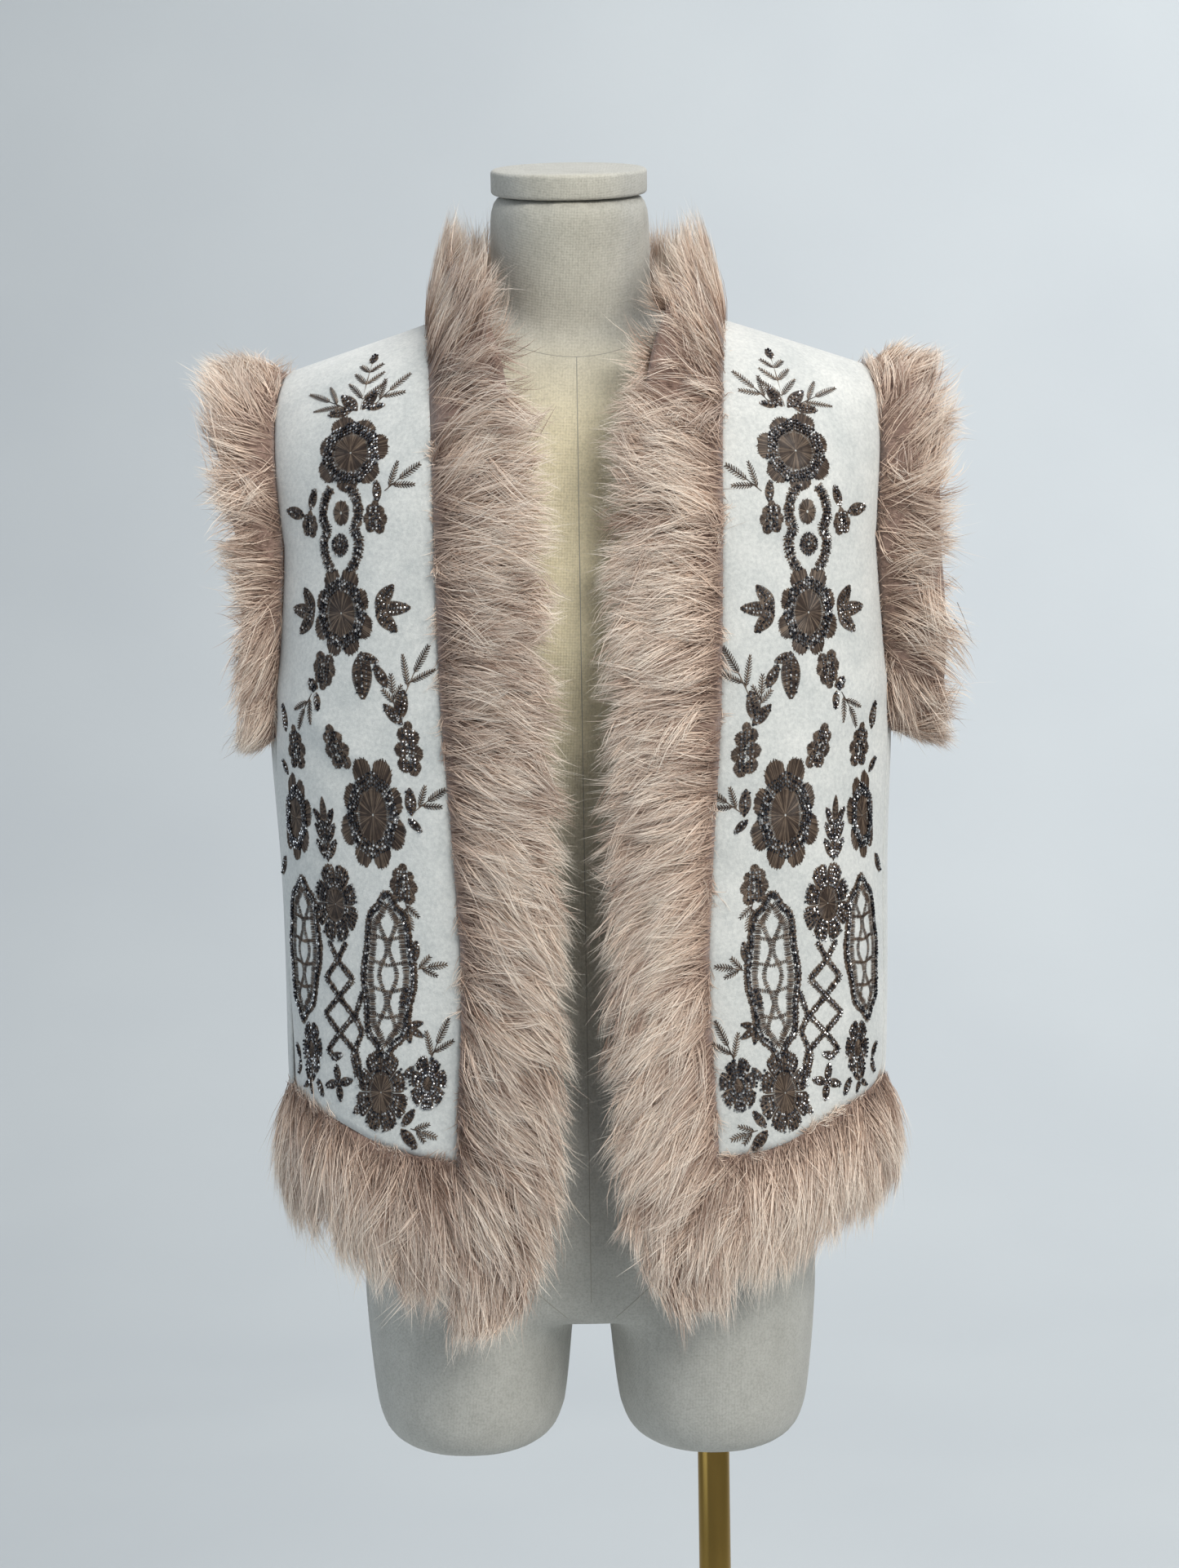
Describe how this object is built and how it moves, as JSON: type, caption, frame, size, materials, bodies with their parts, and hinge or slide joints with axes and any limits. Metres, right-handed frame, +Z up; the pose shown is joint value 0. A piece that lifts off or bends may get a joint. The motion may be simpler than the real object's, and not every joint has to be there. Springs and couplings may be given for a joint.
{
  "type": "embroidered fur-trimmed vest on a dress form",
  "caption": "Open sleeveless suede vest with embroidered fronts and long fur at the fronts, collar, armholes and hem, on a limbless linen dress form.",
  "frame": {"origin": "centre of the bounding box in plan, on the floor under the base plate", "axes": "+Z up; the vest's open front faces -Y; +X is the right-hand side of the picture, the wearer's left"},
  "size_m": [0.5235, 0.36, 1.5328],
  "materials": {
    "suede_fronts": "napped suede, embroidered",
    "suede_back": "napped suede",
    "long_fur": "long-pile fur",
    "linen": "matt linen cover",
    "pole_brass": "polished",
    "base_paint": "satin"
  },
  "bodies": {
    "root": {"front_panel_left": "suede_fronts", "front_panel_right": "suede_fronts", "back_panel": "suede_back", "fur_band_left": "long_fur", "fur_band_right": "long_fur", "fur_collar": "long_fur", "fur_hem_left": "long_fur", "fur_hem_right": "long_fur", "fur_hem_back": "long_fur", "fur_armhole_left": "long_fur", "fur_armhole_right": "long_fur", "form_body": "linen", "neck_cap": "linen", "pole": "pole_brass", "base_plate": "base_paint"}
  },
  "joints": []
}
